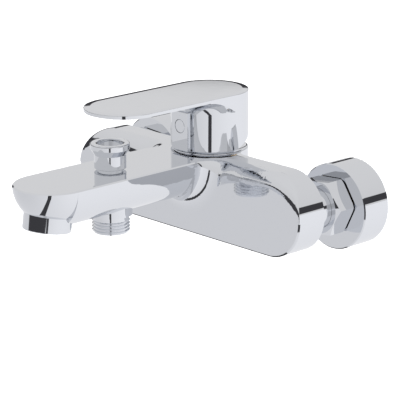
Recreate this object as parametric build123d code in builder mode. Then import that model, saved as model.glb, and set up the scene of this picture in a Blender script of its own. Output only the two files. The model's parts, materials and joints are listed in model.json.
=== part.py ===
from build123d import *
from math import cos, radians, sin, tan
import os

os.makedirs("parts", exist_ok=True)

# Frame: wall plane at Y = 0, the room lies toward -Y, +X is right when facing the wall, +Z is up.
# The origin is midway between the two supply pipes in the wall.  All dimensions in millimetres.
BOTTOM = (Align.CENTER, Align.CENTER, Align.MIN)

# Cross bar of the body
inlet_x = 75.0
slab_z = 1.9
slab_r = 23.3
slab_half_length = 91.2
slab_front_y = -63.0
slab_back_y = -43.0
deck_z = slab_z + slab_r
edge_depth = 9.0
edge_height = 7.8
root_edge_height = 11.5

# Spout
spout_half_width = 21.6
spout_depth = 24.1
nose_y = -159.3
root_r = 11.0
fine_bevel = 0.6
front_bevel = 1.2
bevel = 1.0

# Cartridge chamber and its rear bulge
cartridge_y = -42.5
bulge_r = 22.3
bulge_bottom_z = -9.0
chamber_floor_z = 4.0
chamber_r = 17.75
nut_bore_r = 19.0
port_x = 7.0
port_y = cartridge_y - 5.0
return_y = cartridge_y + 8.0
port_r = 3.0
supply_y = -51.0
supply_z = -6.0
supply_r = 4.5

# Cartridge levels
base_top_z = 8.0
fixed_top_z = 11.5
moving_top_z = 15.0
shoulder_z = 19.5
pivot_z = 30.0
ball_z = 19.0
carrier_y = cartridge_y + 2.0
disc_r = 12.8
carrier_half = 6.0
guide_neck_r = 9.92
pin_r = 1.5
stem_side = 7.0

# Lever
cap_r = 22.3
cap_bottom_z = 26.9
lever_top_z = 59.3
lever_tip_y = -107.5
lever_depth = 5.6
rim_depth = 2.3
rim_fall_width = 3.6
rim_fall = 0.28
hollow_r = 20.3
hollow_top_z = 48.0
index_z = 40.7
pad_y = -65.8
pad_half_width = 6.4
lift_clearance_angle = 20.0
arch_r = 8.0
arch_top_z = 56.6

# Diverter and shower outlet
outlet_y = -118.0
valve_bore_r = 8.5
valve_seat_z = 14.5
bonnet_bottom_z = 20.5
spindle_r = 2.0
knob_bottom_z = 26.4
knob_r = 8.9
knob_flange_r = 11.0
knob_top_z = 40.6
shower_bottom_z = -10.0
shower_thread_r = 10.48
shower_neck_r = 9.9
nipple_top_z = 5.6

# Aerator, leaning so that the stream leaves toward the bath
aerator_tilt = radians(8.4)
aerator_axis = (0, sin(aerator_tilt), cos(aerator_tilt))
aerator_plane = Plane(origin=(0, -163.8, 0.4), x_dir=(1, 0, 0), z_dir=aerator_axis)
aerator_r = 13.3
aerator_seat = 13.0

# Inlets
escutcheon_r = 24.5
escutcheon_depth = 19.2
union_nut_across = 30.0
union_nut_back_y = -20.0
union_nut_front_y = -32.5
collar_r = 11.7
tail_flange_y = -30.7
gasket_front_y = -28.7
gasket_back_y = -27.2
wall_thread_r = 10.48
union_thread_r = 13.2
wall_thread_length = 12.0


def edge_section(origin, inward, tangent, depth, height):
    """Space outside the rounded edge of the cross bar, in one plane across that edge."""
    with BuildSketch(Plane(origin=origin, x_dir=inward, z_dir=tangent)) as section:
        with BuildLine():
            Polyline((depth, 0), (depth, 5), (-5, 5), (-5, -height), (0, -height))
            EllipticalCenterArc((depth, -height), depth, height, start_angle=90, arc_size=90)
        make_face()
    return section.sketch


def missing_edge():
    """Space outside the rounded top front edge of the right half.

    The rounding grows along the root fillet of the spout and fades out half way down the end.
    """
    start_x = spout_half_width + root_r
    end_x = slab_half_length - slab_r
    with BuildPart() as wedge:
        for step in range(4):
            turn = radians(5 + 25 * step)
            origin = (start_x - root_r * cos(turn), slab_front_y - root_r + root_r * sin(turn), deck_z)
            inward = (-cos(turn), sin(turn), 0)
            tangent = (sin(turn), cos(turn), 0)
            add(edge_section(origin, inward, tangent, edge_depth * sin(turn), root_edge_height * sin(turn)))
        for step in range(1, 5):
            share = step / 4
            origin = (start_x + (end_x - start_x) * share, slab_front_y, deck_z)
            height = root_edge_height + (edge_height - root_edge_height) * sin(radians(90 * share))
            add(edge_section(origin, (0, 1, 0), (1, 0, 0), edge_depth, height))
        for step in range(1, 7):
            turn = radians(90 - 15 * step)
            origin = (end_x + slab_r * cos(turn), slab_front_y, slab_z + slab_r * sin(turn))
            share = 0.02 + sin(turn)
            height = share * edge_height * (2.2 - 1.2 * sin(turn))
            depth = edge_depth * share * share
            add(edge_section(origin, (0, 1, 0), (sin(turn), 0, -cos(turn)), depth, height))
        loft()
    return wedge.part


def passage(start, end, radius):
    """Straight round water passage between two points."""
    run = Vector(*end) - Vector(*start)
    with BuildPart() as bore:
        with BuildSketch(Plane(origin=start, z_dir=run)):
            Circle(radius)
        extrude(amount=run.length)
    return bore.part


def coil(centre_y, bottom_z, top_z, mean_r, wire_r, turns):
    """Compression spring standing on a vertical axis."""
    with BuildPart() as spring:
        with BuildLine() as path:
            Helix((top_z - bottom_z - 2 * wire_r) / turns, top_z - bottom_z - 2 * wire_r, mean_r,
                  center=(0, centre_y, bottom_z + wire_r))
        with BuildSketch(Plane(origin=path.line @ 0, z_dir=path.line % 0)):
            Circle(wire_r)
        sweep(is_frenet=True)
    return spring.part


def arch_web():
    """Arched transition from the front of the cap to the underside of the lever."""
    with BuildPart() as web:
        with BuildSketch(Plane.YZ):
            with BuildLine():
                CenterArc((cartridge_y + cap_r + arch_r, arch_top_z - arch_r), arch_r, 90, 90)
                Polyline((cartridge_y + cap_r, arch_top_z - arch_r), (cartridge_y + cap_r - 2, arch_top_z - arch_r),
                         (cartridge_y + cap_r - 2, lever_top_z - 0.5),
                         (cartridge_y + cap_r + arch_r, lever_top_z - 0.5),
                         (cartridge_y + cap_r + arch_r, arch_top_z))
            make_face()
        revolve(axis=Axis((0, cartridge_y, 0), (0, 0, 1)))
        with Locations((0, cartridge_y, 30)):
            Box(2 * cap_r, 60, 40, align=(Align.CENTER, Align.MAX, Align.MIN), mode=Mode.INTERSECT)
    return web.part


# ---------------------------------------------------------------- body casting
with BuildPart() as faucet_body:
    # Cross bar, with a tower that only helps the root fillet and is cut away again
    with BuildSketch(Plane.XZ.offset(-slab_back_y)):
        with Locations((0, slab_z)):
            SlotOverall(2 * slab_half_length, 2 * slab_r)
        with Locations((0, deck_z + 20)):
            Rectangle(90, 60)
    extrude(amount=slab_back_y - slab_front_y)
    # Spout with an elliptical belly
    with BuildSketch(Plane.XZ.offset(50)):
        with Locations((0, deck_z)):
            Ellipse(spout_half_width, spout_depth)
    extrude(amount=-nose_y - 50)
    root = faucet_body.edges().filter_by(
        lambda e: abs(e.bounding_box().min.Y - slab_front_y) < 0.01
        and abs(e.bounding_box().max.Y - slab_front_y) < 0.01
        and e.bounding_box().max.X < 30
        and e.bounding_box().min.X > -30
        and e.geom_type != GeomType.LINE
    )
    fillet(root, radius=root_r)
    # Round nose
    with BuildSketch(Plane.YZ):
        with BuildLine():
            CenterArc((nose_y, deck_z), spout_half_width, 180, 90)
            Line((nose_y, deck_z - spout_half_width), (nose_y, deck_z))
            Line((nose_y, deck_z), (nose_y - spout_half_width, deck_z))
        make_face()
    revolve(axis=Axis((0, nose_y, deck_z), (0, 0, 1)))
    with Locations((0, -100, deck_z)):
        Box(400, 300, 80, align=BOTTOM, mode=Mode.SUBTRACT)
    # Bevel around the deck of the spout
    with BuildSketch(Plane.XZ.offset(-nose_y)):
        with Locations((spout_half_width, deck_z), (-spout_half_width, deck_z)):
            Rectangle(bevel, bevel, rotation=45)
    extrude(amount=slab_front_y - root_r - nose_y, dir=(0, 1, 0), mode=Mode.SUBTRACT)
    with BuildSketch(Plane.XZ.offset(-nose_y)):
        with Locations((spout_half_width, deck_z)):
            Rectangle(bevel, bevel, rotation=45)
    revolve(axis=Axis((0, nose_y, deck_z), (0, 0, -1)), revolution_arc=180, mode=Mode.SUBTRACT)
    # Boss of the shower outlet
    with BuildSketch(Plane.XY):
        with Locations((0, outlet_y)):
            Circle(12.0)
    extrude(amount=12)
    # Rear bulge around the cartridge chamber
    with BuildSketch(Plane.XY.offset(bulge_bottom_z)):
        with Locations((0, cartridge_y)):
            Circle(bulge_r)
        with Locations((0, cartridge_y + 10)):
            Rectangle(60, 50, mode=Mode.INTERSECT)
    extrude(amount=deck_z - bulge_bottom_z)
    back = faucet_body.edges().filter_by(Axis.Z).filter_by(
        lambda e: abs(abs(e.center().X) - 22.29) < 0.2 and abs(e.center().Y - slab_back_y) < 0.2
    )
    fillet(back, radius=8)
    # Cartridge chamber with the threaded bore of its clamping nut
    with Locations((0, cartridge_y, chamber_floor_z)):
        Cylinder(chamber_r, 40, align=BOTTOM, mode=Mode.SUBTRACT)
    with Locations((0, cartridge_y, shoulder_z)):
        Cylinder(nut_bore_r, 40, align=BOTTOM, mode=Mode.SUBTRACT)
    # Supply passages from the two inlets to the chamber floor
    for side in (1, -1):
        with BuildSketch(Plane.XZ.offset(-slab_back_y)):
            with Locations((side * inlet_x, slab_z)):
                Circle(9.5)
        extrude(amount=14, mode=Mode.SUBTRACT)
        add(passage((side * (inlet_x + 4), supply_y, supply_z), (side * 5, supply_y, supply_z), supply_r),
            mode=Mode.SUBTRACT)
        add(passage((side * port_x, port_y, supply_z), (side * port_x, port_y, chamber_floor_z + 1), port_r),
            mode=Mode.SUBTRACT)
    # Mixed water passage: chamber floor, under the chamber, up into the spout, past the diverter
    add(passage((0, return_y, -3), (0, return_y, chamber_floor_z + 1), 2.8), mode=Mode.SUBTRACT)
    add(passage((0, return_y + 2, -3), (0, -60.5, -3), 2.8), mode=Mode.SUBTRACT)
    add(passage((0, -59.5, -4.5), (0, -70, 12), 2.8), mode=Mode.SUBTRACT)
    add(passage((0, -68, 10), (0, outlet_y, 10), 4.3), mode=Mode.SUBTRACT)
    add(passage((0, outlet_y, 17.6), (0, -163, 17.6), 3.0), mode=Mode.SUBTRACT)
    # Diverter valve bore
    with Locations((0, outlet_y, -1)):
        Cylinder(valve_bore_r, valve_seat_z + 1, align=BOTTOM, mode=Mode.SUBTRACT)
        Cylinder(6.0, bonnet_bottom_z + 1.5, align=BOTTOM, mode=Mode.SUBTRACT)
    with Locations((0, outlet_y, bonnet_bottom_z)):
        Cylinder(6.5, 10, align=BOTTOM, mode=Mode.SUBTRACT)
    # Rounded top front edge of the cross bar, and a fine bevel along the rest of its front face
    edge = missing_edge()
    add(edge, mode=Mode.SUBTRACT)
    add(edge.mirror(Plane.YZ), mode=Mode.SUBTRACT)
    with BuildSketch(Plane.YZ):
        with Locations((slab_front_y, slab_z - slab_r)):
            Rectangle(front_bevel, front_bevel, rotation=45)
    extrude(amount=slab_half_length - slab_r, both=True, mode=Mode.SUBTRACT)
    for side in (1, -1):
        with BuildSketch(Plane.XY.offset(slab_z)):
            with Locations((side * slab_half_length, slab_front_y)):
                Rectangle(front_bevel, front_bevel, rotation=45)
        end_axis = Axis((side * (slab_half_length - slab_r), 0, slab_z), (0, side, 0))
        revolve(axis=end_axis, revolution_arc=90, mode=Mode.SUBTRACT)
    # Aerator recess and the small chamber above it
    with BuildSketch(aerator_plane.offset(-6)):
        Circle(aerator_r + 0.05)
    extrude(amount=aerator_seat + 6, mode=Mode.SUBTRACT)
    with BuildSketch(aerator_plane.offset(aerator_seat - 1)):
        Circle(9.0)
    extrude(amount=6, mode=Mode.SUBTRACT)
faucet_body.part.label = "faucet_body"
export_step(faucet_body.part, "parts/faucet_body.step")

# ---------------------------------------------------------------- cartridge
# Base plate with one pocket around each of its three ports for the seals
ports = ((-port_x, port_y), (port_x, port_y), (0, return_y))
with BuildPart() as cartridge_base:
    with Locations((0, cartridge_y, chamber_floor_z)):
        Cylinder(chamber_r - 0.3, base_top_z - chamber_floor_z, align=BOTTOM)
    with Locations(*[(x, y, chamber_floor_z) for x, y in ports]):
        Cylinder(port_r, 10, align=BOTTOM, mode=Mode.SUBTRACT)
        Cylinder(port_r + 1.7, 1.2, align=BOTTOM, mode=Mode.SUBTRACT)
cartridge_base.part.label = "cartridge_base"
export_step(cartridge_base.part, "parts/cartridge_base.step")

# Three port seals pressed between the base and the chamber floor
with BuildPart() as port_seals:
    for x, y in ports:
        with BuildSketch(Plane(origin=(x, y, chamber_floor_z), x_dir=(1, 0, 0), z_dir=(0, -1, 0))):
            with Locations((port_r + 0.95, 0.6)):
                Circle(0.58)
        revolve(axis=Axis((x, y, 0), (0, 0, 1)))
port_seals.part.label = "port_seals"
export_step(port_seals.part, "parts/port_seals.step")

# Fixed ceramic disc
with BuildPart() as fixed_disc:
    with Locations((0, cartridge_y, base_top_z)):
        Cylinder(15.0, fixed_top_z - base_top_z, align=BOTTOM)
    with Locations(*[(x, y, base_top_z) for x, y in ports]):
        Cylinder(port_r, 10, align=BOTTOM, mode=Mode.SUBTRACT)
    chamfer(fixed_disc.edges().filter_by(GeomType.CIRCLE).filter_by(lambda e: e.radius > 14), length=0.4)
fixed_disc.part.label = "fixed_disc"
export_step(fixed_disc.part, "parts/fixed_disc.step")

# Moving ceramic disc with the mixing pocket in its underside
with BuildPart() as moving_disc:
    with Locations((0, carrier_y, fixed_top_z + 0.02)):
        Cylinder(disc_r, moving_top_z - fixed_top_z - 0.02, align=BOTTOM)
    with Locations((0, carrier_y + 3.0, fixed_top_z - 1)):
        Cylinder(9.0, 3.0, align=BOTTOM, mode=Mode.SUBTRACT)
    chamfer(moving_disc.edges().filter_by(GeomType.CIRCLE).filter_by(lambda e: e.radius > 12), length=0.4)
moving_disc.part.label = "moving_disc"
export_step(moving_disc.part, "parts/moving_disc.step")

# Carrier that holds the moving disc and takes the ball end of the lever stem
with BuildPart() as disc_carrier:
    with Locations((0, carrier_y, moving_top_z)):
        Cylinder(disc_r, 3.0, align=BOTTOM)
    with Locations((0, cartridge_y, moving_top_z)):
        Box(2 * carrier_half, 2 * carrier_half, 6.5, align=BOTTOM)
    with Locations((0, cartridge_y, moving_top_z + 0.9)):
        Box(6.2, 6.2, 10, align=BOTTOM, mode=Mode.SUBTRACT)
disc_carrier.part.label = "disc_carrier"
export_step(disc_carrier.part, "parts/disc_carrier.step")

# Cartridge housing, stepped so that the clamping nut presses on its shoulder
with BuildPart() as cartridge_housing:
    with Locations((0, cartridge_y, base_top_z)):
        Cylinder(chamber_r - 0.3, shoulder_z - base_top_z, align=BOTTOM)
    with Locations((0, cartridge_y, shoulder_z)):
        Cylinder(13.9, 7.5, align=BOTTOM)
    with Locations((0, cartridge_y, base_top_z)):
        Cylinder(15.3, 10.2, align=BOTTOM, mode=Mode.SUBTRACT)
        Cylinder(12.3, 16.6, align=BOTTOM, mode=Mode.SUBTRACT)
        Cylinder(guide_neck_r + 0.08, 30, align=BOTTOM, mode=Mode.SUBTRACT)
cartridge_housing.part.label = "cartridge_housing"
export_step(cartridge_housing.part, "parts/cartridge_housing.step")

# Rotating guide: flange under the housing top, neck through it, two legs that turn the carrier
with BuildPart() as rotating_guide:
    with Locations((0, cartridge_y, 22.0)):
        Cylinder(12.0, 2.5, align=BOTTOM)
        Cylinder(guide_neck_r, 11.0, align=BOTTOM)
    for side in (1, -1):
        with Locations((side * 8.6, cartridge_y, 18.2)):
            Box(4.8, 6.0, 4.5, align=BOTTOM)
    with Locations((0, cartridge_y - 0.6, 17.0)):
        Box(stem_side + 0.2, 11.4, 30, align=BOTTOM, mode=Mode.SUBTRACT)
    with Locations(Location((0, cartridge_y, pivot_z), (0, 90, 0))):
        Cylinder(pin_r + 0.02, 40, mode=Mode.SUBTRACT)
rotating_guide.part.label = "rotating_guide"
export_step(rotating_guide.part, "parts/rotating_guide.step")

# Cross pin on which the stem tilts
with BuildPart() as stem_pin:
    with Locations(Location((0, cartridge_y, pivot_z), (0, 90, 0))):
        Cylinder(pin_r, 18.6)
stem_pin.part.label = "stem_pin"
export_step(stem_pin.part, "parts/stem_pin.step")

# Lever stem: square shank, round neck and ball end
with BuildPart() as lever_stem:
    with Locations((0, cartridge_y, 23.5)):
        Box(stem_side, stem_side, 27.0, align=BOTTOM)
    chamfer(lever_stem.faces().sort_by(Axis.Z)[-1].edges(), length=0.6)
    with Locations((0, cartridge_y, ball_z)):
        Cylinder(2.0, 5.0, align=BOTTOM)
        Sphere(3.0)
    with Locations(Location((0, cartridge_y, pivot_z), (0, 90, 0))):
        Cylinder(pin_r + 0.06, 20, mode=Mode.SUBTRACT)
lever_stem.part.label = "lever_stem"
export_step(lever_stem.part, "parts/lever_stem.step")

# Brass clamping nut: thread, plain collar and hexagon
with BuildPart() as cartridge_nut:
    with Locations((0, cartridge_y, shoulder_z)):
        Cylinder(nut_bore_r - 0.06, 5.4, align=BOTTOM)
        Cylinder(17.6, 8.0, align=BOTTOM)
    with BuildSketch(Plane.XY.offset(shoulder_z + 8.0)):
        with Locations((0, cartridge_y)):
            RegularPolygon(17.3, 6)
    extrude(amount=3.0)
    with Locations((0, cartridge_y, shoulder_z)):
        Cylinder(14.1, 20, align=BOTTOM, mode=Mode.SUBTRACT)
cartridge_nut.part.label = "cartridge_nut"
export_step(cartridge_nut.part, "parts/cartridge_nut.step")

# Polished ring that covers the gap between body and cap, flared at its foot
with BuildPart() as cover_ring:
    with BuildSketch(Plane.YZ):
        with BuildLine():
            Polyline((cartridge_y + 17.66, deck_z), (cartridge_y + 21.8, deck_z), (cartridge_y + 21.8, deck_z + 0.3))
            Spline((cartridge_y + 21.8, deck_z + 0.3), (cartridge_y + 20.9, deck_z + 0.65),
                   (cartridge_y + 20.5, deck_z + 1.35))
            Polyline((cartridge_y + 20.5, deck_z + 1.35), (cartridge_y + 17.66, deck_z + 1.35),
                     (cartridge_y + 17.66, deck_z))
        make_face()
    revolve(axis=Axis((0, cartridge_y, 0), (0, 0, 1)))
cover_ring.part.label = "cover_ring"
export_step(cover_ring.part, "parts/cover_ring.step")

# ---------------------------------------------------------------- lever
belly_r = (cap_r ** 2 + (lever_depth - rim_depth) ** 2) / (2 * (lever_depth - rim_depth))
belly_z = lever_top_z - lever_depth + belly_r
with BuildPart() as lever_handle:
    # Flat plate with a shallow belly, rounded in the same way around its tip
    with BuildSketch(Plane.XZ.offset(-cartridge_y)):
        with BuildLine():
            ThreePointArc((-cap_r, lever_top_z - rim_depth), (0, lever_top_z - lever_depth),
                          (cap_r, lever_top_z - rim_depth))
            Polyline((cap_r, lever_top_z - rim_depth), (cap_r, lever_top_z), (-cap_r, lever_top_z),
                     (-cap_r, lever_top_z - rim_depth))
        make_face()
    extrude(amount=cartridge_y - lever_tip_y)
    with BuildSketch(Plane.YZ):
        with BuildLine():
            CenterArc((lever_tip_y, belly_z), belly_r, 180, 90)
            Line((lever_tip_y, belly_z - belly_r), (lever_tip_y, belly_z))
            Line((lever_tip_y, belly_z), (lever_tip_y - belly_r, belly_z))
        make_face()
        with Locations((lever_tip_y - cap_r / 2, lever_top_z - lever_depth / 2)):
            Rectangle(cap_r, lever_depth, mode=Mode.INTERSECT)
    revolve(axis=Axis((0, lever_tip_y, 0), (0, 0, 1)))
    with Locations((0, cartridge_y, cap_bottom_z)):
        Cylinder(cap_r, lever_top_z - cap_bottom_z, align=BOTTOM)
    add(arch_web())
    # Index pad on the front of the cap
    with Locations((0, pad_y, cap_bottom_z)):
        Box(2 * pad_half_width, 6, 22, align=(Align.CENTER, Align.MIN, Align.MIN))
    # Top face falls away slightly toward a soft rim
    top_face = lever_handle.faces().sort_by(Axis.Z)[-1]
    chamfer(top_face.outer_wire().edges(), length=rim_fall_width, length2=rim_fall, reference=top_face)
    rim = lever_handle.edges().filter_by(
        lambda e: abs(e.bounding_box().min.Z - lever_top_z + rim_fall) < 0.001
        and abs(e.bounding_box().max.Z - lever_top_z + rim_fall) < 0.001
    )
    fillet(rim, radius=0.3)
    # Hollow, with the boss that grips the stem
    with Locations((0, cartridge_y, cap_bottom_z - 1)):
        Cylinder(hollow_r, hollow_top_z - cap_bottom_z + 1, align=BOTTOM, mode=Mode.SUBTRACT)
    with Locations((0, cartridge_y, 37.0)):
        Cylinder(6.6, hollow_top_z - 36.0, align=BOTTOM)
    with Locations((0, cartridge_y, 36.0)):
        Box(stem_side + 0.1, stem_side + 0.1, 15.0, align=BOTTOM, mode=Mode.SUBTRACT)
    # Access to the grub screw, with the seat of the index plug
    with Locations(Location((0, cartridge_y, index_z), (90, 0, 0))):
        Cylinder(2.55, 30, align=BOTTOM, mode=Mode.SUBTRACT)
    with Locations(Location((0, pad_y + 1.6, index_z), (90, 0, 0))):
        Cylinder(4.0, 5, align=BOTTOM, mode=Mode.SUBTRACT)
    # Relief that lets the cap tilt back over the body
    with BuildSketch(Plane.YZ.offset(-40)):
        with BuildLine():
            Polyline((cartridge_y, cap_bottom_z), (cartridge_y + 40, cap_bottom_z),
                     (cartridge_y + 40, cap_bottom_z + 40 * tan(radians(lift_clearance_angle))),
                     (cartridge_y, cap_bottom_z))
        make_face()
    extrude(amount=80, mode=Mode.SUBTRACT)
lever_handle.part.label = "lever_handle"
export_step(lever_handle.part, "parts/lever_handle.step")

# Grub screw that clamps the lever on the stem
with BuildPart() as grub_screw:
    with Locations(Location((0, cartridge_y - stem_side / 2, index_z), (90, 0, 0))):
        Cylinder(2.5, 6.0, align=BOTTOM)
    with BuildSketch(Plane.XZ.offset(-cartridge_y + stem_side / 2 + 6)):
        with Locations((0, index_z)):
            RegularPolygon(1.45, 6)
    extrude(amount=-2.5, mode=Mode.SUBTRACT)
grub_screw.part.label = "grub_screw"
export_step(grub_screw.part, "parts/grub_screw.step")

# Index plug that hides the grub screw
with BuildPart() as index_plug:
    with Locations(Location((0, pad_y + 1.6, index_z), (90, 0, 0))):
        Cylinder(3.9, 1.5, align=BOTTOM)
    fillet(index_plug.edges().sort_by(Axis.Y)[0], radius=0.3)
    with Locations(Location((0, pad_y + 3.4, index_z), (90, 0, 0))):
        Cylinder(2.4, 2.0, align=BOTTOM)
index_plug.part.label = "index_plug"
export_step(index_plug.part, "parts/index_plug.step")

# ---------------------------------------------------------------- diverter
with BuildPart() as diverter_bonnet:
    with Locations((0, outlet_y, bonnet_bottom_z)):
        Cylinder(6.44, deck_z - bonnet_bottom_z, align=BOTTOM)
    with Locations((0, outlet_y, deck_z)):
        Cylinder(7.15, 1.1, align=BOTTOM)
    with Locations((0, outlet_y, bonnet_bottom_z)):
        Cylinder(spindle_r + 0.06, 10, align=BOTTOM, mode=Mode.SUBTRACT)
    with Locations((0, outlet_y, 22.0)):
        Cylinder(3.6, 1.6, align=BOTTOM, mode=Mode.SUBTRACT)
diverter_bonnet.part.label = "diverter_bonnet"
export_step(diverter_bonnet.part, "parts/diverter_bonnet.step")

with BuildPart() as spindle_seal:
    with BuildSketch(Plane.YZ):
        with Locations((outlet_y + 2.8, 22.8)):
            Circle(0.72)
    revolve(axis=Axis((0, outlet_y, 0), (0, 0, 1)))
spindle_seal.part.label = "spindle_seal"
export_step(spindle_seal.part, "parts/spindle_seal.step")

# Spindle with the flange that backs the valve seal
with BuildPart() as diverter_spindle:
    with Locations((0, outlet_y, 3.0)):
        Cylinder(spindle_r, 31.0, align=BOTTOM)
    with Locations((0, outlet_y, 8.4)):
        Cylinder(5.4, 0.9, align=BOTTOM)
diverter_spindle.part.label = "diverter_spindle"
export_step(diverter_spindle.part, "parts/diverter_spindle.step")

with BuildPart() as valve_seal:
    with Locations((0, outlet_y, nipple_top_z + 0.05)):
        Cylinder(7.6, 8.4 - nipple_top_z - 0.05, align=BOTTOM)
    chamfer(valve_seal.edges(), length=0.4)
    with Locations((0, outlet_y, nipple_top_z)):
        Cylinder(spindle_r + 0.02, 5, align=BOTTOM, mode=Mode.SUBTRACT)
valve_seal.part.label = "valve_seal"
export_step(valve_seal.part, "parts/valve_seal.step")

with BuildPart() as spindle_nut:
    with BuildSketch(Plane.XY.offset(3.8)):
        with Locations((0, outlet_y)):
            RegularPolygon(3.6, 6)
            Circle(spindle_r + 0.02, mode=Mode.SUBTRACT)
    extrude(amount=nipple_top_z + 0.05 - 3.8)
spindle_nut.part.label = "spindle_nut"
export_step(spindle_nut.part, "parts/spindle_nut.step")

with BuildPart() as diverter_spring:
    add(coil(outlet_y, 9.32, bonnet_bottom_z - 0.02, 3.4, 0.35, 5))
diverter_spring.part.label = "diverter_spring"
export_step(diverter_spring.part, "parts/diverter_spring.step")

# Pull knob with a dished top
with BuildPart() as diverter_knob:
    with BuildSketch(Plane.YZ):
        with BuildLine():
            Polyline((outlet_y, knob_bottom_z), (outlet_y + knob_r, knob_bottom_z),
                     (outlet_y + knob_r, knob_top_z - 6.4), (outlet_y + knob_flange_r, knob_top_z - 3.2),
                     (outlet_y + knob_flange_r, knob_top_z), (outlet_y + 7.35, knob_top_z),
                     (outlet_y + 7.35, knob_top_z - 2.6), (outlet_y, knob_top_z - 2.6), (outlet_y, knob_bottom_z))
        make_face()
    revolve(axis=Axis((0, outlet_y, 0), (0, 0, 1)))
    rounds = diverter_knob.edges().filter_by(GeomType.CIRCLE)
    fillet(rounds.filter_by(lambda e: 30 < e.center().Z < knob_top_z - 3), radius=0.5)
    rounds = diverter_knob.edges().filter_by(GeomType.CIRCLE)
    fillet(rounds.filter_by(lambda e: e.center().Z > knob_top_z - 0.1), radius=0.7)
    rounds = diverter_knob.edges().filter_by(GeomType.CIRCLE)
    fillet(rounds.filter_by(lambda e: e.center().Z < knob_bottom_z + 0.1), radius=0.4)
    with Locations((0, outlet_y, knob_bottom_z)):
        Cylinder(spindle_r + 0.02, 7.7, align=BOTTOM, mode=Mode.SUBTRACT)
diverter_knob.part.label = "diverter_knob"
export_step(diverter_knob.part, "parts/diverter_knob.step")

# ---------------------------------------------------------------- shower outlet
with BuildPart() as shower_nipple:
    with Locations((0, outlet_y, 0)):
        Cylinder(valve_bore_r - 0.05, nipple_top_z, align=BOTTOM)
    with Locations((0, outlet_y, shower_bottom_z)):
        Cylinder(shower_neck_r - 0.4, -shower_bottom_z, align=BOTTOM)
    with Locations((0, outlet_y, -3.2)):
        Cylinder(shower_neck_r, 3.2, align=BOTTOM)
    # Thread shown as evenly spaced ridges
    for turn in range(4):
        ridge_z = shower_bottom_z + 0.5 + 1.81 * turn
        with BuildSketch(Plane.YZ):
            with BuildLine():
                Polyline((outlet_y + 9.0, ridge_z), (outlet_y + 9.4, ridge_z), (outlet_y + shower_thread_r, ridge_z + 0.7),
                         (outlet_y + shower_thread_r, ridge_z + 0.95), (outlet_y + 9.4, ridge_z + 1.6),
                         (outlet_y + 9.0, ridge_z + 1.6), (outlet_y + 9.0, ridge_z))
            make_face()
        revolve(axis=Axis((0, outlet_y, 0), (0, 0, 1)))
    with Locations((0, outlet_y, shower_bottom_z)):
        Cylinder(7.0, 13.6, align=BOTTOM, mode=Mode.SUBTRACT)
        Cylinder(5.0, 30, align=BOTTOM, mode=Mode.SUBTRACT)
shower_nipple.part.label = "shower_nipple"
export_step(shower_nipple.part, "parts/shower_nipple.step")

# Check valve inside the nipple
check_top_z = 2.4
check_bottom_z = -8.4
with BuildPart() as check_valve_body:
    with Locations((0, outlet_y, check_bottom_z)):
        Cylinder(6.93, check_top_z - check_bottom_z, align=BOTTOM)
        Cylinder(4.8, check_top_z - check_bottom_z - 1.2, align=BOTTOM, mode=Mode.SUBTRACT)
        Cylinder(3.2, 30, align=BOTTOM, mode=Mode.SUBTRACT)
        Cylinder(2.2, 1.2, align=BOTTOM)
        Box(10.6, 1.4, 1.2, align=BOTTOM)
        Box(1.4, 10.6, 1.2, align=BOTTOM)
        Cylinder(1.06, 30, align=BOTTOM, mode=Mode.SUBTRACT)
check_valve_body.part.label = "check_valve_body"
export_step(check_valve_body.part, "parts/check_valve_body.step")

with BuildPart() as check_poppet:
    with Locations((0, outlet_y, check_top_z - 2.75)):
        Cylinder(4.3, 1.5, align=BOTTOM)
    fillet(check_poppet.edges().sort_by(Axis.Z)[-1], radius=0.5)
    with Locations((0, outlet_y, check_bottom_z - 0.2)):
        Cylinder(1.0, 9.0, align=BOTTOM)
check_poppet.part.label = "check_poppet"
export_step(check_poppet.part, "parts/check_poppet.step")

with BuildPart() as check_spring:
    add(coil(outlet_y, check_bottom_z + 1.22, check_top_z - 2.77, 1.8, 0.25, 5))
check_spring.part.label = "check_spring"
export_step(check_spring.part, "parts/check_spring.step")

# ---------------------------------------------------------------- aerator
with BuildPart() as aerator_sleeve:
    with BuildSketch(aerator_plane):
        Circle(aerator_r)
    extrude(amount=11.5)
    fillet(aerator_sleeve.edges().sort_by(Axis.Z)[0], radius=0.4)
    with BuildSketch(aerator_plane.offset(1.2)):
        Circle(11.2)
    extrude(amount=12, mode=Mode.SUBTRACT)
    with BuildSketch(aerator_plane.offset(-1)):
        Circle(10.2)
    extrude(amount=12, mode=Mode.SUBTRACT)
aerator_sleeve.part.label = "aerator_sleeve"
export_step(aerator_sleeve.part, "parts/aerator_sleeve.step")

with BuildPart() as aerator_gasket:
    with BuildSketch(aerator_plane.offset(11.5)):
        Circle(aerator_r - 0.1)
        Circle(9.2, mode=Mode.SUBTRACT)
    extrude(amount=aerator_seat - 11.5)
aerator_gasket.part.label = "aerator_gasket"
export_step(aerator_gasket.part, "parts/aerator_gasket.step")

# Flow insert with a bundle of small channels
with BuildPart() as aerator_insert:
    with BuildSketch(aerator_plane.offset(2.2)):
        Circle(11.1)
        with HexLocations(2.0, 5, 5):
            Circle(1.35, mode=Mode.SUBTRACT)
    extrude(amount=7.0)
aerator_insert.part.label = "aerator_insert"
export_step(aerator_insert.part, "parts/aerator_insert.step")

# Outlet screen
with BuildPart() as aerator_mesh:
    with BuildSketch(aerator_plane.offset(1.25)):
        Circle(11.1)
        with GridLocations(1.9, 1.9, 9, 9):
            Rectangle(1.4, 1.4, mode=Mode.SUBTRACT)
    extrude(amount=0.8)
aerator_mesh.part.label = "aerator_mesh"
export_step(aerator_mesh.part, "parts/aerator_mesh.step")

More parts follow.
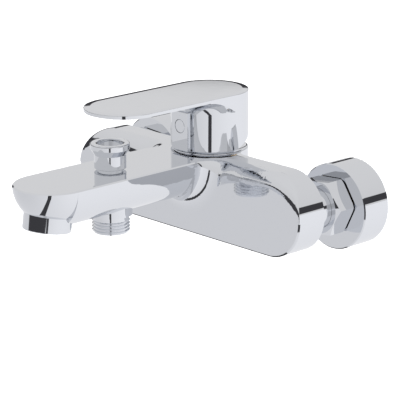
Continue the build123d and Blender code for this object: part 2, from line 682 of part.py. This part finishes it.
# ---------------------------------------------------------------- inlets
for side_name, side in (("left", -1), ("right", 1)):
    x = side * inlet_x

    # Tail piece screwed into the body, held by the union nut
    with BuildPart() as tail_piece:
        with BuildSketch(Plane.XZ.offset(-slab_back_y)):
            with Locations((x, slab_z)):
                Circle(9.45)
        extrude(amount=6)
        with BuildSketch(Plane.XZ.offset(-slab_back_y)):
            with Locations((x, slab_z)):
                Circle(collar_r)
        extrude(amount=slab_back_y - tail_flange_y)
        with BuildSketch(Plane.XZ.offset(-tail_flange_y)):
            with Locations((x, slab_z)):
                Circle(12.9)
        extrude(amount=tail_flange_y - gasket_front_y)
        with BuildSketch(Plane.XZ.offset(20)):
            with Locations((x, slab_z)):
                Circle(7.5)
        extrude(amount=40, mode=Mode.SUBTRACT)
    tail_piece.part.label = side_name + "_tail_piece"
    export_step(tail_piece.part, "parts/" + side_name + "_tail_piece.step")

    # Hexagonal union nut with chamfered corners
    with BuildPart() as union_nut:
        with BuildSketch(Plane.XZ.offset(-union_nut_back_y)):
            with Locations((x, slab_z)):
                RegularPolygon(union_nut_across / 2, 6, major_radius=False, rotation=side * 4)
        extrude(amount=union_nut_back_y - union_nut_front_y)
        with BuildSketch(Plane.YZ.offset(x)):
            with BuildLine():
                Polyline((union_nut_back_y, slab_z), (union_nut_front_y, slab_z),
                         (union_nut_front_y, slab_z + 14.6), (union_nut_front_y + 1.8, slab_z + 17.7),
                         (union_nut_back_y - 0.8, slab_z + 17.7), (union_nut_back_y, slab_z + 16.2),
                         (union_nut_back_y, slab_z))
            make_face()
        revolve(axis=Axis((x, 0, slab_z), (0, 1, 0)), mode=Mode.INTERSECT)
        with BuildSketch(Plane.XZ.offset(-tail_flange_y)):
            with Locations((x, slab_z)):
                Circle(union_thread_r + 0.05)
        extrude(amount=-20, mode=Mode.SUBTRACT)
        with BuildSketch(Plane.XZ.offset(-union_nut_back_y)):
            with Locations((x, slab_z)):
                Circle(collar_r + 0.1)
        extrude(amount=20, mode=Mode.SUBTRACT)
    union_nut.part.label = side_name + "_union_nut"
    export_step(union_nut.part, "parts/" + side_name + "_union_nut.step")

    # Fibre gasket of the union
    with BuildPart() as union_gasket:
        with BuildSketch(Plane.XZ.offset(-gasket_back_y)):
            with Locations((x, slab_z)):
                Circle(12.6)
                Circle(8.0, mode=Mode.SUBTRACT)
        extrude(amount=gasket_back_y - gasket_front_y)
    union_gasket.part.label = side_name + "_union_gasket"
    export_step(union_gasket.part, "parts/" + side_name + "_union_gasket.step")

    # Wall union with its two threaded ends slightly out of line
    with BuildPart() as wall_union:
        with BuildSketch(Plane.XZ.offset(-gasket_back_y)):
            with Locations((x, slab_z)):
                Circle(union_thread_r)
        extrude(amount=gasket_back_y + 6)
        with BuildSketch(Plane.XZ.offset(6)):
            with Locations((x, slab_z / 2)):
                Circle(12.6)
        extrude(amount=-6)
        with BuildSketch(Plane.XZ):
            with Locations((x, 0)):
                Circle(wall_thread_r)
        extrude(amount=-wall_thread_length)
        with BuildSketch(Plane.XZ.offset(30)):
            with Locations((x, slab_z)):
                Circle(7.5)
        extrude(amount=-27, mode=Mode.SUBTRACT)
        with BuildSketch(Plane.XZ.offset(3)):
            with Locations((x, 0)):
                Circle(7.5)
        extrude(amount=-30, mode=Mode.SUBTRACT)
    wall_union.part.label = side_name + "_wall_union"
    export_step(wall_union.part, "parts/" + side_name + "_wall_union.step")

    # Escutcheon: a shallow cup against the wall
    with BuildPart() as escutcheon:
        with BuildSketch(Plane.XZ):
            with Locations((x, 0)):
                Circle(escutcheon_r)
        extrude(amount=escutcheon_depth)
        chamfer(escutcheon.edges().sort_by(Axis.Y)[0], length=fine_bevel)
        with BuildSketch(Plane.XZ.offset(-1)):
            with Locations((x, 0)):
                Circle(escutcheon_r - 1.3)
        extrude(amount=escutcheon_depth - 0.3, mode=Mode.SUBTRACT)
        with BuildSketch(Plane.XZ):
            with Locations((x, slab_z)):
                Circle(union_thread_r + 0.1)
        extrude(amount=30, mode=Mode.SUBTRACT)
    escutcheon.part.label = side_name + "_escutcheon"
    export_step(escutcheon.part, "parts/" + side_name + "_escutcheon.step")
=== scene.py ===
import json
from math import cos, pi, radians, sin

import bpy
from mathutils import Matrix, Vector

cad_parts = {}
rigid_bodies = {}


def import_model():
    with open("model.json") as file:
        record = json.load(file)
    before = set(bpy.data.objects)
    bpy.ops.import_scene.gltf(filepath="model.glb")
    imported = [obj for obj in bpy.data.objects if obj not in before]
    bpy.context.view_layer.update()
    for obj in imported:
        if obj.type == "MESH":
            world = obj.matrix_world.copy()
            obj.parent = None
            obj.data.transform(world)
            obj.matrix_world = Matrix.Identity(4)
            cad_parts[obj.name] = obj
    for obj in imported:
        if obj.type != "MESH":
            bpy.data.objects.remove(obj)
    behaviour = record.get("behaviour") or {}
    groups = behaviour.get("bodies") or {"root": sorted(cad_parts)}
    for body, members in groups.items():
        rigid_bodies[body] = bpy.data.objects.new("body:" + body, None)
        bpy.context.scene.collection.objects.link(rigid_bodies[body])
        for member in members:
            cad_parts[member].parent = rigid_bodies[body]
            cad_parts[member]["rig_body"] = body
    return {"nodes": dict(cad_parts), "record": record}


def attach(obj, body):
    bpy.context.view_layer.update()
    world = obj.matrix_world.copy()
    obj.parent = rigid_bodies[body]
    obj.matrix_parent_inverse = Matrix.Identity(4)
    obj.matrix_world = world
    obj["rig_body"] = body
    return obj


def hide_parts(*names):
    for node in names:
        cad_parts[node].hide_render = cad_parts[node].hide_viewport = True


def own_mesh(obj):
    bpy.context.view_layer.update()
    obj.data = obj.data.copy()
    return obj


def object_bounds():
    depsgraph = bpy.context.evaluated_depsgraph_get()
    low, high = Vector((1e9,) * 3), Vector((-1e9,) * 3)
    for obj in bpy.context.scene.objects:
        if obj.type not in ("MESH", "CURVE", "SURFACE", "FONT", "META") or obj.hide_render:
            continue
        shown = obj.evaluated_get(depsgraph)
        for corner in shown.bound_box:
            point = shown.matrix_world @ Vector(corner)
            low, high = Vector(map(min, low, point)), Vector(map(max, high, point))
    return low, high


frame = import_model()
cad_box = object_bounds()
nodes = frame["nodes"]


# ------------------------------------------------------------------ shader nodes
def new_material(name, color, metallic, roughness):
    """A Principled material; returns the material, its node tree and the shader node."""
    material = bpy.data.materials.new(name)
    material.use_nodes = True
    tree = material.node_tree
    shader = tree.nodes["Principled BSDF"]
    shader.inputs["Base Color"].default_value = (*color, 1.0)
    shader.inputs["Metallic"].default_value = metallic
    shader.inputs["Roughness"].default_value = roughness
    return material, tree, shader


def add_noise(tree, scale, detail):
    """Noise in object space; returns its 0 to 1 value. The scale is per metre."""
    place = tree.nodes.new("ShaderNodeTexCoord")
    noise = tree.nodes.new("ShaderNodeTexNoise")
    noise.inputs["Scale"].default_value = scale
    noise.inputs["Detail"].default_value = detail
    tree.links.new(place.outputs["Object"], noise.inputs["Vector"])
    return noise.outputs["Fac"]


def vary_roughness(tree, shader, source, low, high):
    """Lets a 0 to 1 value move the roughness between low and high."""
    spread = tree.nodes.new("ShaderNodeMapRange")
    spread.inputs["To Min"].default_value = low
    spread.inputs["To Max"].default_value = high
    tree.links.new(source, spread.inputs["Value"])
    tree.links.new(spread.outputs["Result"], shader.inputs["Roughness"])


def add_bump(tree, shader, source, height):
    """A bump of the given height, in metres, from a 0 to 1 value."""
    bump = tree.nodes.new("ShaderNodeBump")
    bump.inputs["Strength"].default_value = 1.0
    bump.inputs["Distance"].default_value = height
    tree.links.new(source, bump.inputs["Height"])
    tree.links.new(bump.outputs["Normal"], shader.inputs["Normal"])


def feed(tree, socket, value):
    """Gives a socket a number, a colour of three numbers or another node's output."""
    if isinstance(value, (int, float)):
        socket.default_value = value
    elif isinstance(value, tuple):
        socket.default_value = (*value, 1.0)
    else:
        tree.links.new(value, socket)


def mix_colors(tree, factor, first, second):
    """Fades from the first colour at 0 to the second at 1; a colour is a tuple or an output."""
    node = tree.nodes.new("ShaderNodeMix")
    node.data_type = "RGBA"
    feed(tree, node.inputs["Factor"], factor)
    feed(tree, node.inputs["A"], first)
    feed(tree, node.inputs["B"], second)
    return node.outputs["Result"]


def calculate(tree, operation, *operands):
    """A Math node; each operand is a number or an output."""
    node = tree.nodes.new("ShaderNodeMath")
    node.operation = operation
    for socket, value in zip(node.inputs, operands):
        feed(tree, socket, value)
    return node.outputs["Value"]


# ------------------------------------------------------------------ materials
CHROME_COLOR = (0.72, 0.735, 0.765)
DARKEST_GRAIN = 0.86
LIGHTEST_GRAIN = 1.08


def chrome():
    """Bright chrome plate: a mirror with a trace of polishing haze and orange peel."""
    material, tree, shader = new_material(
        "polished_chrome", CHROME_COLOR, metallic=1.0, roughness=0.04)
    haze = add_noise(tree, scale=55.0, detail=3.0)
    vary_roughness(tree, shader, haze, low=0.018, high=0.05)
    peel = add_noise(tree, scale=160.0, detail=1.0)
    add_bump(tree, shader, peel, height=2.5e-6)
    return material


def speckled(name, color, metallic, low, high, scale, height):
    """A material whose roughness runs from low to high, with a slight colour change and a fine bump."""
    material, tree, shader = new_material(name, color, metallic, (low + high) / 2)
    grain = add_noise(tree, scale, detail=4.0)
    vary_roughness(tree, shader, grain, low, high)
    darkest = tuple(channel * DARKEST_GRAIN for channel in color)
    lightest = tuple(min(1.0, channel * LIGHTEST_GRAIN) for channel in color)
    tree.links.new(mix_colors(tree, grain, darkest, lightest), shader.inputs["Base Color"])
    add_bump(tree, shader, grain, height)
    return material


# name, colour, metallic, lowest and highest roughness, grains per metre, bump height in metres
materials = {
    "chrome": chrome(),
    "brass": speckled("machined_brass", (0.68, 0.47, 0.2), 1.0, 0.22, 0.36, 900.0, 6e-6),
    "steel": speckled("stainless_steel", (0.55, 0.55, 0.56), 1.0, 0.2, 0.34, 1200.0, 4e-6),
    "ceramic": speckled("lapped_ceramic", (0.86, 0.84, 0.79), 0.0, 0.12, 0.2, 1500.0, 1e-6),
    "dark_plastic": speckled("dark_plastic", (0.035, 0.035, 0.038), 0.0, 0.38, 0.55, 2200.0, 8e-6),
    "pale_plastic": speckled("pale_plastic", (0.78, 0.78, 0.75), 0.0, 0.35, 0.5, 2000.0, 6e-6),
    "rubber": speckled("nitrile_rubber", (0.02, 0.02, 0.02), 0.0, 0.55, 0.75, 2600.0, 1e-5),
    "fibre": speckled("fibre_gasket", (0.3, 0.1, 0.07), 0.0, 0.7, 0.9, 1800.0, 2e-5),
}

for part in frame["record"]["subparts"]:
    for material_slot in nodes[part["node"]].material_slots:
        material_slot.material = materials[part["material_slot"]]


def compressing_spring(name):
    """Puts a copy of the spring, with its own mesh, on its joint's body and hides the original."""
    node = nodes[name]
    spring = bpy.data.objects.new("working_" + name, node.data.copy())
    bpy.context.scene.collection.objects.link(spring)
    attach(spring, node["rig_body"])
    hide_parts(name)
    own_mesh(spring)


compressing_spring("diverter_spring")
compressing_spring("check_spring")


# ------------------------------------------------------------------ surroundings
# The world is looked up by a unit direction (x, y, z). A dark band circles the horizon: the z of its
# middle and half its width are even slopes over x and y.
BAND_MIDDLE = 0.1055
BAND_MIDDLE_SLOPE = Vector((0.0125, 0.05, 0.0))
BAND_HALF_WIDTH = 0.1295
BAND_WIDTH_SLOPE = Vector((0.0125, -0.05, 0.0))
BAND_SOFTNESS = 0.008
BAND_COLOR = (0.056, 0.055, 0.06)
# A bright window interrupts the band; azimuths turn from +X to +Y
WINDOW_AZIMUTH = radians(-10.0)
WINDOW_HALF_WIDTH = radians(20.0)
# A dark beam runs from the band down below the object and up again behind it; its top and foot are
# two directions along it, and it reaches a little past both
BEAM_TOP = Vector((0.661, -0.695, -0.278)).normalized()
BEAM_FOOT = Vector((-0.695, 0.279, -0.661)).normalized()
BEAM_AXIS = BEAM_TOP.cross(BEAM_FOOT).normalized()
BEAM_MIDDLE = (BEAM_TOP + BEAM_FOOT).normalized()
BEAM_OFFSET = 0.05
BEAM_HALF_WIDTH = sin(radians(4.5))
BEAM_HALF_LENGTH = radians(72.0)
# What the chrome shows of other chrome is softer; the ray depth is 2 after one reflection
SECOND_REFLECTION_DEPTH = 2.5
SECOND_REFLECTION_LIGHT = 0.72
# The sky changes between two heights, and the ground is brighter on one side
SKY_HEIGHTS = (0.2, 0.9)
SKY_COLORS = ((0.79, 0.785, 0.785), (0.84, 0.835, 0.835))
GROUND_LEVEL = 0.9
GROUND_GAIN = 0.13
GROUND_AZIMUTH = radians(43.6)
GROUND_SLOPE = GROUND_GAIN * Vector((cos(GROUND_AZIMUTH), sin(GROUND_AZIMUTH), 0.0))
GROUND_TINT = (1.01, 1.01, 1.03)
WHITE = (1.0, 1.0, 1.0)


def slope(tree, look, gradient, base=0.0):
    """base plus the dot product of the looked-up direction with gradient."""
    total = base
    for axis, steepness in zip("XYZ", gradient):
        step = calculate(tree, "MULTIPLY", look.outputs[axis], steepness)
        total = calculate(tree, "ADD", step, total)
    return total


def outside_band(tree, look):
    """0 in the dark band and 1 away from it, with a soft edge."""
    middle = slope(tree, look, BAND_MIDDLE_SLOPE, BAND_MIDDLE)
    half_width = slope(tree, look, BAND_WIDTH_SLOPE, BAND_HALF_WIDTH)
    away = calculate(tree, "ABSOLUTE", calculate(tree, "SUBTRACT", look.outputs["Z"], middle))
    edge = tree.nodes.new("ShaderNodeMapRange")
    edge.interpolation_type = "SMOOTHSTEP"
    edge.inputs["From Min"].default_value = -BAND_SOFTNESS
    edge.inputs["From Max"].default_value = BAND_SOFTNESS
    tree.links.new(calculate(tree, "SUBTRACT", away, half_width), edge.inputs["Value"])
    return edge.outputs["Result"]


def inside_window(tree, look):
    """1 in the window and 0 elsewhere."""
    azimuth = calculate(tree, "ARCTAN2", look.outputs["Y"], look.outputs["X"])
    aside = calculate(tree, "ABSOLUTE", calculate(tree, "SUBTRACT", azimuth, WINDOW_AZIMUTH))
    return calculate(tree, "LESS_THAN", aside, WINDOW_HALF_WIDTH)


def outside_beam(tree, look):
    """0 in the dark beam and 1 elsewhere."""
    across = calculate(tree, "ABSOLUTE", slope(tree, look, BEAM_AXIS, -BEAM_OFFSET))
    beside = calculate(tree, "GREATER_THAN", across, BEAM_HALF_WIDTH)
    beyond = calculate(tree, "LESS_THAN", slope(tree, look, BEAM_MIDDLE), cos(BEAM_HALF_LENGTH))
    return calculate(tree, "MAXIMUM", beside, beyond)


def pale_surroundings(tree, look):
    """Colour of the sky above the horizon and of the ground below it."""
    sky = tree.nodes.new("ShaderNodeValToRGB")
    for stop, position, color in zip(sky.color_ramp.elements, SKY_HEIGHTS, SKY_COLORS):
        stop.position = position
        stop.color = (*color, 1.0)
    tree.links.new(look.outputs["Z"], sky.inputs["Fac"])
    level = slope(tree, look, GROUND_SLOPE, GROUND_LEVEL)
    ground = tree.nodes.new("ShaderNodeCombineColor")
    for channel, tint in zip(ground.inputs, GROUND_TINT):
        tree.links.new(calculate(tree, "MULTIPLY", level, tint), channel)
    above = calculate(tree, "GREATER_THAN", look.outputs["Z"], 0.0)
    return mix_colors(tree, above, ground.outputs["Color"], sky.outputs["Color"])


def build_world():
    """Pale studio whose dark band, window and dark beam only show in the chrome."""
    world = bpy.data.worlds.new("studio")
    bpy.context.scene.world = world
    world.use_nodes = True
    tree = world.node_tree
    place = tree.nodes.new("ShaderNodeTexCoord")
    look = tree.nodes.new("ShaderNodeSeparateXYZ")
    tree.links.new(place.outputs["Generated"], look.inputs["Vector"])
    light = calculate(tree, "MAXIMUM", outside_band(tree, look), inside_window(tree, look))
    light = calculate(tree, "MULTIPLY", light, outside_beam(tree, look))
    path = tree.nodes.new("ShaderNodeLightPath")
    second = calculate(tree, "GREATER_THAN", path.outputs["Ray Depth"], SECOND_REFLECTION_DEPTH)
    softened = calculate(tree, "MULTIPLY", second, SECOND_REFLECTION_LIGHT)
    light = calculate(tree, "MAXIMUM", light, softened)
    color = mix_colors(tree, light, BAND_COLOR, pale_surroundings(tree, look))
    mirrored = tree.nodes["Background"]
    feed(tree, mirrored.inputs["Color"], color)
    # The camera sees plain white behind the object
    backdrop = tree.nodes.new("ShaderNodeBackground")
    feed(tree, backdrop.inputs["Color"], WHITE)
    choice = tree.nodes.new("ShaderNodeMixShader")
    chooser, mirror_side, camera_side = choice.inputs
    tree.links.new(path.outputs["Is Camera Ray"], chooser)
    tree.links.new(mirrored.outputs["Background"], mirror_side)
    tree.links.new(backdrop.outputs["Background"], camera_side)
    tree.links.new(choice.outputs["Shader"], tree.nodes["World Output"].inputs["Surface"])


build_world()

# ------------------------------------------------------------------ floor and light
FLOOR_DROP = 0.6
FLOOR_RADIUS = 5.0
FLOOR_CORNERS = 64
FLOOR_COLOR = (0.93, 0.93, 0.94)
FLOOR_ROUGHNESS = 0.9
FLOOR_GLOW = 0.14
PANEL_PLACE = (0.0, 2.2, 1.4)
PANEL_WIDTH = 7.0
PANEL_DEPTH = 2.0
PANEL_POWER = 90.0


def add_floor():
    """A pale round floor well below the object, which glows a little."""
    floor_z = cad_box[0][2] - FLOOR_DROP
    turns = [2 * pi * corner / FLOOR_CORNERS for corner in range(FLOOR_CORNERS)]
    corners = [(FLOOR_RADIUS * cos(turn), FLOOR_RADIUS * sin(turn), floor_z) for turn in turns]
    mesh = bpy.data.meshes.new("floor")
    mesh.from_pydata(corners, [], [tuple(range(FLOOR_CORNERS))])
    floor = bpy.data.objects.new("floor", mesh)
    bpy.context.scene.collection.objects.link(floor)
    material, tree, shader = new_material(
        "floor", FLOOR_COLOR, metallic=0.0, roughness=FLOOR_ROUGHNESS)
    feed(tree, shader.inputs["Specular IOR Level"], 0.0)
    feed(tree, shader.inputs["Emission Color"], FLOOR_COLOR)
    feed(tree, shader.inputs["Emission Strength"], FLOOR_GLOW)
    mesh.materials.append(material)
    # The chrome mirrors the even ground tone of the world instead of the lit floor
    floor.visible_glossy = False


def add_softbox():
    """A large soft panel behind the object that points straight down and isn't mirrored in the chrome."""
    panel = bpy.data.lights.new("rear_softbox", "AREA")
    panel.shape = "RECTANGLE"
    panel.size = PANEL_WIDTH
    panel.size_y = PANEL_DEPTH
    panel.energy = PANEL_POWER
    holder = bpy.data.objects.new("rear_softbox", panel)
    holder.location = PANEL_PLACE
    holder.visible_glossy = False
    bpy.context.scene.collection.objects.link(holder)


add_floor()
add_softbox()

# ------------------------------------------------------------------ camera
CAMERA_AZIMUTH = 0.8098
CAMERA_ELEVATION = 0.2815
CAMERA_DISTANCE = 1.1483
CAMERA_LENS = 180.0
SENSOR_WIDTH = 36.0
AIM = Vector((0.0, -0.044, 0.0219))
AIM_SHIFT_RIGHT = -0.004346
AIM_SHIFT_UP = -0.027778

back = Vector((
    sin(CAMERA_AZIMUTH) * cos(CAMERA_ELEVATION),
    -cos(CAMERA_AZIMUTH) * cos(CAMERA_ELEVATION),
    sin(CAMERA_ELEVATION),
))
right = Vector((cos(CAMERA_AZIMUTH), sin(CAMERA_AZIMUTH), 0.0))
up = back.cross(right)
lens = bpy.data.cameras.new("camera")
lens.lens = CAMERA_LENS
lens.sensor_width = SENSOR_WIDTH
camera = bpy.data.objects.new("camera", lens)
camera.location = AIM + back * CAMERA_DISTANCE + right * AIM_SHIFT_RIGHT + up * AIM_SHIFT_UP
camera.rotation_euler = back.to_track_quat("Z", "Y").to_euler()
bpy.context.scene.collection.objects.link(camera)
bpy.context.scene.camera = camera
bpy.context.scene.view_settings.view_transform = "Standard"
